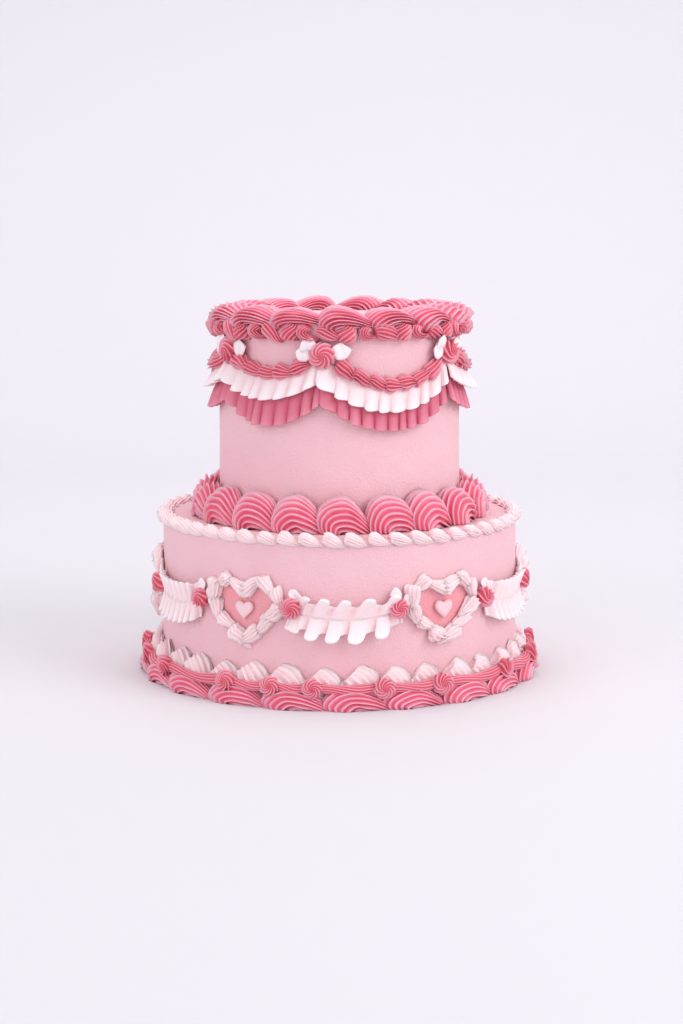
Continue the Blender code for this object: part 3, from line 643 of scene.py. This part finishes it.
whiteLook = {"folds": (8, 10, 9, 9, 9, 9), "perFold": 16, "rows": 22, "unevenness": 0.34, "round": 0.75,
             "flare": 0.9, "start": -0.02, "end": 1.0, "top": 0.0012, "drop": 0.0160,
             "middleDrop": (0.0156, 0.0158, 0.0135, 0.0150, 0.0150, 0.0135), "lip": 0.0030, "root": 0.0018,
             "trough": 0.0044, "crest": (0.0086, 0.0086, 0.0112, 0.0090, 0.0090, 0.0112),
             "slant": -0.26, "curl": 0.10, "shear": -0.20, "scallop": 0.0007, "thickness": 0.0009,
             "grooveTone": 0.22, "foldTone": 0.5}
deepLook = {"folds": (9, 11, 10, 10, 10, 10), "perFold": 16, "rows": 22, "unevenness": 0.42, "round": 0.6,
            "flare": 0.8, "start": -0.015, "end": 1.0, "top": 0.0115, "drop": 0.0280,
            "middleDrop": (0.0312, 0.0270, 0.0262, 0.0275, 0.0275, 0.0262), "lip": 0.0024, "root": 0.0014,
            "trough": 0.0026, "crest": (0.0072, 0.0072, 0.0080, 0.0074, 0.0074, 0.0080), "slant": -0.22,
            "curl": 0.12, "shear": -0.08, "scallop": 0.0011, "thickness": 0.0011,
            "grooveTone": 0.22, "foldTone": 0.5}
garlandLook = shellRidges | {
    "steps": 28, "teeth": 12, "bend": 76.0, "ridge": 0.38, "wind": -50.0,
    "inner": ((-5.0, -0.8), (-5.4, -2.8), (-3.0, -3.9), (1.0, -3.4), (5.4, -2.2), (9.4, -0.9)),
    "outer": ((-5.6, 0.6), (-6.2, 2.2), (-4.0, 3.8), (0.5, 3.4), (5.2, 1.9), (9.4, -0.1)),
    "front": (2.4, 4.6, 5.4, 4.8, 3.8, 2.2), "back": (0.6, 1.2, 1.2, 1.2, 1.0, 0.5)}
garland = {"shells": (5, 7, 7, 7, 7, 7), "ends": 0.11, "offWall": 0.0012, "size": (1.08, 1.12, 1.08),
           "rollVariation": 12.0, "sizeVariation": 0.09, "turnVariation": 4.0, "seed": 21}
garlandShapes = shapeSet("garlandShell", railShell, garlandLook, 4, 80)


def garlandSpots(number):
    # each shell lies along the line, turned a little off it
    draw = np.random.default_rng(garland["seed"] + number)
    count = garland["shells"][number]
    spots = []
    for i in range(count):
        share = garland["ends"] + (1 - 2 * garland["ends"]) * (i + 0.45) / count
        angle, line = swagLine(number, share)
        ahead, further = swagLine(number, share + 0.02)
        run = math.radians(ahead - angle) * upperWall(line)
        stray = draw.uniform(-1, 1) * garland["rollVariation"]
        spots.append(spotOn(angle, upperWall(line) + garland["offWall"], line,
                            math.degrees(math.atan2(further - line, run)) + stray, garland["size"]))
    return spots


deepMeshes = []
for number in range(swagCount):
    deepFolds = swagRuffle(number, deepLook, 200 + number)
    deepMeshes.append(sheetMesh(f"deep{number}", *deepFolds, finishes["deep"]))
    whiteMesh = sheetMesh("whiteRuffle", *swagRuffle(number, whiteLook, 100 + number), finishes["white"])
    ruffle = addPiece(f"whiteRuffleIcing_{number + 1}", whiteMesh)
    dress(thicken(ruffle, whiteLook["thickness"]), "white_icing", f"white_ruffle_{number + 1}")
    row = growRow(f"garlandPiping_{number + 1}", garlandShapes, garlandSpots(number), garland,
                  finishes["dusty"])
    dress(row, "dusty_rose_icing", f"garland_{number + 1}")


def joinMeshes(name, meshes):
    # several meshes of one finish made into one piece
    made = [addPiece(f"{name}{i}", mesh) for i, mesh in enumerate(meshes)]
    with bpy.context.temp_override(active_object=made[0], selected_editable_objects=made):
        bpy.ops.object.join()
    made[0].name = name
    made[0].data.name = name
    return made[0]


deepRuffle = thicken(joinMeshes("deepRuffleIcing", deepMeshes), deepLook["thickness"])
dress(deepRuffle, "deep_rose_icing", "deep_ruffle")

moundLook = shellRidges | {
    "steps": 30, "teeth": 8, "perTooth": 9, "ridge": 0.34, "turns": 2.7, "tighten": 1.6, "dome": 2.4,
    "rough": 0.006, "startFade": 0.03, "endFade": 0.16, "uneven": 0.15}
swagMound = moundLook | {
    "reach": (6.4, 7.0, 7.0, 6.4, 5.2, 3.7, 2.1, 0.7), "rise": (0.0, 2.2, 4.6, 6.4, 7.4, 7.9, 8.1, 8.5)}
heartMound = moundLook | {
    "reach": (4.9, 5.4, 5.4, 4.9, 4.0, 2.8, 1.6, 0.5), "rise": (-2.0, 1.0, 3.2, 4.8, 5.6, 5.9, 6.0, 6.4),
    "dome": 1.9}
leafLook = shellRidges | {
    "steps": 18, "teeth": 8, "perTooth": 3, "ridge": 0.0, "rough": 0.0, "uneven": 0.0, "bend": 90.0,
    "wind": 0.0, "stir": 0.35, "startFade": 0.1, "endFade": 0.1, "lift": (1.0, 1.9, 1.5, 2.2, 2.6),
    "inner": ((-1.0, -1.8), (1.2, -3.7), (3.8, -4.5), (6.2, -3.0), (7.6, -0.8)),
    "outer": ((-1.0, 1.8), (1.0, 3.6), (3.4, 4.6), (5.8, 3.8), (7.8, 0.6)),
    "front": (0.8, 0.9, 0.9, 0.8, 0.6), "back": (0.8, 0.9, 0.9, 0.8, 0.6)}
swagRosette = {"offWall": 0.0004, "turn": 50.0, "sizeVariation": 0.05, "turnVariation": 6.0, "seed": 31}
swagLeaf = {"headings": (12.0, 150.0, 178.0), "reach": 0.0062, "size": 1.06, "offWall": 0.0022,
            "sizeVariation": 0.12, "turnVariation": 10.0, "seed": 37}
leafShapes = shapeSet("leaf", railShell, leafLook, 4, 120)


def leafSpots(angle, z, wall, leaf, headings):
    # leaves that point away from the middle of a rosette
    spots = []
    for heading in headings:
        x, up = (leaf["reach"] * way(math.radians(heading)) for way in (math.cos, math.sin))
        spots.append(spotOn(angle + math.degrees(x / wall(z)), wall(z + up) + leaf["offWall"], z + up,
                            heading, (leaf["size"],) * 3))
    return spots


swagShapes = shapeSet("swagRosette", moundShell, swagMound, 3, 130)
for number, angle in enumerate(swag["joints"][:swagCount]):
    spot = spotOn(angle, upperWall(swag["jointZ"]) + swagRosette["offWall"], swag["jointZ"],
                  number * swagRosette["turn"])
    mound = growRow(f"swagRosettePiping_{number + 1}", swagShapes, [spot], swagRosette, finishes["dusty"])
    dress(mound, "dusty_rose_icing", f"swag_rosette_{number + 1}")
    spots = leafSpots(angle, swag["jointZ"], upperWall, swagLeaf, swagLeaf["headings"])
    leaves = growRow(f"swagLeaves_{number + 1}", leafShapes, spots, swagLeaf, finishes["white"])
    dress(leaves, "white_icing")
print("swags hung")


# hearts and ruffle bands on the lower tier
heart = {"angles": (-89.5, -29.6, 32.8, 96.0, 154.17, 212.33), "halfWidth": 0.0212, "tipZ": 0.0348,
         "lobeZ": 0.0705, "shells": 6, "firstShell": 0.38, "stray": 0.1, "offWall": 0.0010,
         "rollVariation": 16.0, "sizeVariation": 0.14, "turnVariation": 9.0, "seed": 43}
heartShell = shellRidges | {
    "steps": 26, "teeth": 10, "bend": 400.0, "ridge": 0.38, "stir": 0.5, "wind": -30.0,
    "startFade": 0.02,
    "inner": ((-5.0, -1.8), (-5.2, -3.6), (-2.4, -4.3), (2.0, -3.2), (6.0, -1.9), (9.6, -0.9)),
    "outer": ((-6.0, 1.6), (-5.4, 3.4), (-2.6, 4.4), (1.8, 3.4), (6.0, 1.8), (9.6, 0.4)),
    "front": (2.6, 5.0, 5.8, 4.6, 3.2, 1.4), "back": (0.6, 1.0, 1.0, 1.0, 0.8, 0.5)}


def heartCurve(turn):
    # the usual heart line with its notch partly filled: across and up, from the notch at 0 to the tip at pi
    wave = 13 * np.cos(turn) - 5 * np.cos(2 * turn) - 2 * np.cos(3 * turn) - np.cos(4 * turn)
    wave = wave + 3.6 * np.exp((np.cos(turn) - 1) / 0.12)
    up = heart["tipZ"] + (heart["lobeZ"] - heart["tipZ"]) * (wave + 17) / 28.93
    return np.stack([heart["halfWidth"] * np.sin(turn) * np.abs(np.sin(turn)) ** 1.3, up], -1)


def heartSpots(middle, draw):
    # down each side from the notch to the tip
    spots = []
    for side in (-1, 1):
        walk = heartCurve(side * np.linspace(0.12, math.pi, 400))
        gone = np.concatenate([[0], np.cumsum(np.hypot(*np.diff(walk, axis=0).T))])
        for i in range(heart["shells"]):
            stray = draw.uniform(-1, 1) * heart["stray"]
            here = gone[-1] * (i + heart["firstShell"] + stray) / heart["shells"]
            x, z = (np.interp(here, gone, walk[:, k]) for k in (0, 1))
            ahead = [np.interp(here + 0.002, gone, walk[:, k]) for k in (0, 1)]
            roll = math.degrees(math.atan2(ahead[1] - z, ahead[0] - x))
            roll += draw.uniform(-1, 1) * heart["rollVariation"]
            angle = middle + math.degrees(x / lowerWall(z))
            spots.append(spotOn(angle, lowerWall(z) + heart["offWall"], z, roll))
    return spots


candy = {"z": 0.0539, "width": 0.0118, "height": 0.0109, "thick": 0.0031, "around": 72, "offWall": 0.0004,
         "levels": (0.92, 1.0, 0.97, 0.86, 0.66, 0.4, 0.15), "rise": (0.0, 0.35, 0.62, 0.84, 0.95, 0.99, 1.0)}


def candyMesh(middle):
    # a flat heart whose rounded side is made in levels
    turn = np.linspace(0, 2 * np.pi, candy["around"], endpoint=False)
    outline = heartCurve(turn)
    x = outline[:, 0] / heart["halfWidth"] * candy["width"] / 2
    y = ((outline[:, 1] - heart["tipZ"]) / (heart["lobeZ"] - heart["tipZ"]) - 0.5) * candy["height"]
    level = np.array(candy["levels"])[:, None]
    rise = np.array(candy["rise"])[:, None]
    z = candy["z"] + y * level
    angle = middle + np.degrees(x * level / lowerWall(z))
    grid = onRound(angle, lowerWall(z) + candy["offWall"] + rise * candy["thick"], z)
    # painted shade and highlight: the sugar is coloured deeper at its foot on the wall and paler on its
    # raised top
    return tubeMesh("candy", grid, np.broadcast_to(rise, grid.shape[:2]), finishes["sugar"])


heartShapes = shapeSet("heartShell", railShell, heartShell, 4, 140)
heartRosette = swagRosette | {"offset": 15.6, "z": 0.0580, "offWall": 0.0026, "turn": 70.0, "sideTurn": 20}
heartLeaf = swagLeaf | {"reach": 0.0046, "size": 0.72}
smallMounds = shapeSet("heartRosette", moundShell, heartMound, 4, 150)
for number, middle in enumerate(heart["angles"]):
    draw = np.random.default_rng(heart["seed"] + number)
    outline = growRow(f"heartPiping_{number + 1}", heartShapes, heartSpots(middle, draw), heart,
                      finishes["softWhite"])
    dress(outline, "white_icing", f"heart_outline_{number + 1}")
    dress(addPiece(f"sugarHeart_{number + 1}", candyMesh(middle)), "candy", f"candy_heart_{number + 1}")
    spots = []
    for side, way, headings in (("left", -1, (98.0, 33.0)), ("right", 1, (82.0, 57.0))):
        angle = middle + way * heartRosette["offset"]
        spot = spotOn(angle, lowerWall(heartRosette["z"]) + heartRosette["offWall"], heartRosette["z"],
                      number * heartRosette["turn"] + way * heartRosette["sideTurn"])
        mound = growRow(f"{side}RosettePiping_{number + 1}", smallMounds, [spot], heartRosette,
                        finishes["dusty"])
        dress(mound, "dusty_rose_icing", f"heart_rosette_{side}_{number + 1}")
        spots += leafSpots(angle, heartRosette["z"], lowerWall, heartLeaf, headings)
    leaves = growRow(f"heartLeaves_{number + 1}", leafShapes, spots, heartLeaf, finishes["white"])
    dress(leaves, "white_icing")

# a band of pleats at the sides and the back, and one of rolled folds at the front
sideBand = {"folds": 9, "perFold": 20, "rows": 21, "endOffset": 17.0, "endZ": 0.0560, "sag": 0.0040,
            "above": 0.0118, "below": 0.0118, "crease": 0.0032, "trough": 0.0036, "crest": 0.0080,
            "formUp": "pleat", "formDown": "pleat", "step": 0.45, "slope": 0.0, "roll": 0.1,
            "edgeUp": 0.0016, "edgeDown": 0.0016, "thickness": 0.0011, "unevenness": 0.2,
            "grooveTone": 0.2, "foldTone": 0.52}
frontBand = sideBand | {
    "folds": 5, "perFold": 36, "endOffset": 14.6, "sag": 0.0046, "above": 0.0097, "below": 0.0104,
    "trough": 0.0030, "crest": 0.0108, "formUp": "breaker", "formDown": "tongue", "step": 0.06,
    "slope": 0.20, "roll": 0.30, "edgeUp": 0.0060, "edgeDown": 0.0048, "thickness": 0.0015}
backBand = sideBand | {"sag": 0.0045, "crest": 0.0082}
bands = (sideBand, frontBand, sideBand, backBand, backBand, backBand)
# how one fold runs along the band, stands out and rises, from one trough to the next
foldForms = {
    "pleat": ((0, 0, 0), (0.08, 0.10, 0.1), (0.20, 0.42, 0.4), (0.40, 0.85, 0.8), (0.64, 1.0, 1.0),
              (0.86, 0.88, 0.9), (0.98, 0.50, 0.5), (0.99, 0.14, 0.15), (1, 0, 0)),
    "breaker": ((0, 0, 0), (0.08, 0.20, 0.07), (0.17, 0.48, 0.30), (0.26, 0.75, 0.64), (0.37, 0.93, 0.89),
                (0.50, 1.0, 1.0), (0.64, 0.98, 0.93), (0.76, 0.88, 0.74), (0.80, 0.70, 0.50),
                (0.73, 0.48, 0.34), (0.64, 0.26, 0.22), (0.69, 0.10, 0.13), (0.84, 0.03, 0.06), (1, 0, 0)),
    "tongue": ((0.16, 0, 0), (0.05, 0.30, 0.10), (-0.05, 0.66, 0.40), (-0.02, 0.90, 0.72),
               (0.10, 1.0, 0.93), (0.26, 1.0, 1.0), (0.40, 0.90, 0.94), (0.52, 0.76, 0.74),
               (0.60, 0.60, 0.40), (0.65, 0.44, 0.12), (0.76, 0.28, 0.02), (0.92, 0.12, 0), (1.16, 0, 0))}


def bandGrid(look, start, end, seed):
    # v runs from -1 at the lower hem, over the crease at 0, to 1 at the upper hem
    draw = np.random.default_rng(seed)
    t, phase, depth = foldLine(look["folds"], look["perFold"], look["unevenness"], draw)
    v = np.linspace(-1, 1, look["rows"])[:, None]
    halves = []
    sides = (("formUp", 0.0, look["slope"]), ("formDown", look["step"], -0.2 * look["slope"]))
    for form, offset, slope in sides:
        whole = np.floor(phase + offset)
        along, out, rise = smoothLine(foldForms[look[form]], phase + offset - whole).T
        halves.append((whole + along - offset - phase + slope, out * depth, rise * depth))
    shift, wave, rise = (np.where(v > 0, above, below) for above, below in zip(*halves))
    spread = np.abs(v) ** 0.8
    pitch = (end - start) / look["folds"]
    groove = np.exp(-((np.abs(v) - 0.11) / 0.05) ** 2) * 0.0007  # a bead each side of the crease
    half = np.where(v > 0, look["above"], look["below"])
    lip = np.abs(v) ** 5 * wave * look["roll"]
    ends = np.clip(np.minimum(t, 1 - t) / 0.12, 0.45, 1)  # flatter next to the hearts
    stand = look["trough"] + (look["crest"] - look["trough"]) * wave
    out = look["crease"] + (stand - look["crease"]) * spread
    out = (out + groove + lip * half * 0.4) * ends
    line = look["endZ"] - look["sag"] * hang(t)
    shape = 0.8 + 0.2 * np.sqrt(np.clip(hang(t), 0, 1))
    edge = np.where(v > 0, look["edgeUp"], -look["edgeDown"])
    z = line + v * (1 - lip * 0.15) * half * shape + edge * (rise - 0.4) * spread * ends
    grid = onRound(start + (end - start) * t + shift * spread * pitch, lowerWall(z) + out, z)
    return grid, np.broadcast_to(paintedFoldShade(look, wave, spread, np.abs(v) ** 6), grid.shape[:2])


rounds = [*heart["angles"], heart["angles"][0] + 360]
for number, look in enumerate(bands):
    start, end = rounds[number] + look["endOffset"], rounds[number + 1] - look["endOffset"]
    bandMesh = sheetMesh("band", *bandGrid(look, start, end, 300 + number), finishes["white"])
    band = addPiece(f"ruffleBandIcing_{number + 1}", bandMesh)
    dress(thicken(band, look["thickness"]), "white_icing", f"ruffle_band_{number + 1}")


def paintHeartShade(piece):
    # painted shade: the wall inside each heart is coloured a shade deeper, for the shade that falls there
    x, y, z = pointsOf(piece).T
    onWall = np.hypot(x, y) > cake["lowerTop"] * 0.98
    crest = np.full(len(x), plainWall, np.float32)
    for middle in heart["angles"]:
        angle = (np.degrees(np.arctan2(x, -y)) - middle + 180) % 360 - 180
        across = np.radians(angle) * lowerWall(z) / heart["halfWidth"] * 1.2
        up = (z - heart["tipZ"]) / (heart["lobeZ"] - heart["tipZ"]) * 2.3 - 1.05
        # painted shade: these wall points take the wall's groove colour
        crest[onWall & ((across**2 + up**2 - 1) ** 3 < across**2 * up**3)] = 0.0
    piece.data.attributes["crest"].data.foreach_set("value", crest)


paintHeartShade(lowerTier)
print("hearts piped")


# the rope over the base shells, with a rosette at each loop
rope = {"angles": (-59.7, -33.0, -19.3, -7.5, 12.2, 29.5, 54.5, 76, 97,
                   119, 140, 161, 182, 203, 224, 246, 267, 284),
        "radius": 0.1192, "z": 0.0128, "thick": 0.0027, "sagOut": 0.0012, "sagDown": 0.0012,
        "teeth": 10, "perTooth": 5, "steps": 560, "sharp": 1.1, "ridge": 0.26, "swell": 0.14, "rough": 0.01,
        "twist": 0.5, "rosetteRadius": 0.1200, "rosetteZ": 0.0130, "rosetteTurn": 67.0,
        "sizeVariation": 0.08, "turnVariation": 8.0, "seed": 51}
ropeMound = moundLook | {
    "dome": 1.7, "reach": (4.9, 5.5, 5.6, 5.2, 4.3, 3.1, 1.9, 0.8),
    "rise": (-1.4, 0.6, 2.2, 3.4, 4.0, 4.2, 4.2, 4.6)}


def ropeMesh():
    # a closed ring of ridged icing that sags a little between two rosettes
    angle = np.arange(rope["steps"]) * 360 / rope["steps"]
    loops = np.array([*rope["angles"], rope["angles"][0] + 360])
    beat = np.interp((angle - loops[0]) % 360 + loops[0], loops, np.arange(len(loops)))
    sag = (1 - np.cos(2 * np.pi * beat)) / 2
    draw = np.random.default_rng(rope["seed"])
    columns = rope["teeth"] * rope["perTooth"]
    turn = 2 * np.pi * np.arange(columns) / columns
    crest = (1 - np.abs(np.sin(rope["teeth"] * turn / 2))) ** rope["sharp"]
    radius = rope["radius"] + rope["sagOut"] * sag
    middle = rope["z"] - rope["sagDown"] * sag
    uneven = 1 + rope["swell"] * np.sin(beat * 9.1) * np.sin(beat * 2.3)
    thick = rope["thick"] * uneven[:, None] * (1 + rope["ridge"] * (crest - 0.5))
    thick = thick * (1 + draw.normal(0, rope["rough"], thick.shape))
    twist = turn + rope["twist"] * np.sin(2 * np.pi * beat)[:, None]
    out = radius[:, None] + thick * np.cos(twist)
    z = middle[:, None] + thick * np.sin(twist)
    grid = onRound(angle[:, None], out, z)
    i, j = np.meshgrid(np.arange(rope["steps"]), np.arange(columns), indexing="ij")
    k, n = (j + 1) % columns, (i + 1) % rope["steps"]
    faces = np.stack([i * columns + j, i * columns + k, n * columns + k, n * columns + j], -1)
    # painted shade in the rope's grooves and painted highlight on its ridges, through the crest colour share
    crest = np.broadcast_to(crest, grid.shape[:2]).reshape(-1)
    return newMesh("ropeIcing", grid.reshape(-1, 3), faces.reshape(-1, 4).tolist(), crest, finishes["dusty"])


dress(addPiece("ropeIcing", ropeMesh()), "dusty_rose_icing", "base_rope")
spots = [spotOn(angle, rope["rosetteRadius"], rope["rosetteZ"], i * rope["rosetteTurn"])
         for i, angle in enumerate(rope["angles"])]
ropeRosettes = growRow("ropeRosettes", shapeSet("ropeRosette", moundShell, ropeMound, 4, 160), spots, rope,
                       finishes["dusty"])
dress(ropeRosettes, "dusty_rose_icing")
print("rope laid")


# camera, light and stage
view = {"lens": 72.42, "place": (0.0, -1.26745, 0.29759), "aim": (0.0, 0.0, 0.09605), "shift": 0.002}
studio = {"sky": (0.97, 0.95, 1.0), "skyStrength": 0.745,
          "stage": (0.725, 0.703, 0.737), "stageRoughness": 0.9, "halfWidth": 3.0, "front": -2.4,
          "bendStart": 0.9, "bendRadius": 0.6, "top": 3.0,
          "lamps": (("keyLight", 13.2, 1.1, (1.3, -0.85, 1.0), (0.0, 0.0, 0.12)),
                    ("fillLight", 6.7, 1.4, (-1.2, -1.1, 0.7), (0.0, 0.0, 0.12)),
                    ("backdropLight", 20.0, 1.6, (0.0, 0.5, 2.3), (0.0, 1.5, 0.7)))}
camera = bpy.data.cameras.new("camera")
camera.lens = view["lens"]
camera.shift_x = view["shift"]
cameraObject = bpy.data.objects.new("camera", camera)
bpy.context.scene.collection.objects.link(cameraObject)
drop = view["place"][2] - view["aim"][2]
cameraObject.location = view["place"]
cameraObject.rotation_euler = (math.pi / 2 - math.atan2(drop, -view["place"][1]), 0.0, 0.0)
bpy.context.scene.camera = cameraObject

world = bpy.data.worlds.new("studio")
bpy.context.scene.world = world
world.use_nodes = True
sky = world.node_tree.nodes["Background"]
sky.inputs["Color"].default_value = (*studio["sky"], 1.0)
sky.inputs["Strength"].default_value = studio["skyStrength"]
for lampName, power, size, place, aim in studio["lamps"]:
    lamp = bpy.data.lights.new(lampName, "AREA")
    lamp.energy = power
    lamp.size = size
    lampObject = bpy.data.objects.new(lampName, lamp)
    bpy.context.scene.collection.objects.link(lampObject)
    lampObject.location = place
    lampObject.rotation_euler = (Vector(place) - Vector(aim)).to_track_quat("Z", "Y").to_euler()

# a sheet of paper that lies flat and bends up behind the cake
bend = np.linspace(0, math.pi / 2, 17)
profile = [(studio["front"], 0.0),
           *zip(studio["bendStart"] + studio["bendRadius"] * np.sin(bend),
                studio["bendRadius"] - studio["bendRadius"] * np.cos(bend)),
           (studio["bendStart"] + studio["bendRadius"], studio["top"])]
stagePoints = [(x, y, z) for y, z in profile for x in (-studio["halfWidth"], studio["halfWidth"])]
stageFaces = [(2 * i, 2 * i + 1, 2 * i + 3, 2 * i + 2) for i in range(len(profile) - 1)]
stageMesh = bpy.data.meshes.new("stage")
stageMesh.from_pydata(stagePoints, [], stageFaces)
stageMesh.shade_smooth()
paper = bpy.data.materials.new("stagePaper")
paper.use_nodes = True
paperShader = paper.node_tree.nodes["Principled BSDF"]
paperShader.inputs["Base Color"].default_value = (*studio["stage"], 1.0)
paperShader.inputs["Roughness"].default_value = studio["stageRoughness"]
stageMesh.materials.append(paper)
addPiece("stage", stageMesh)
bpy.context.scene.view_settings.view_transform = "Standard"
print("stage lit")
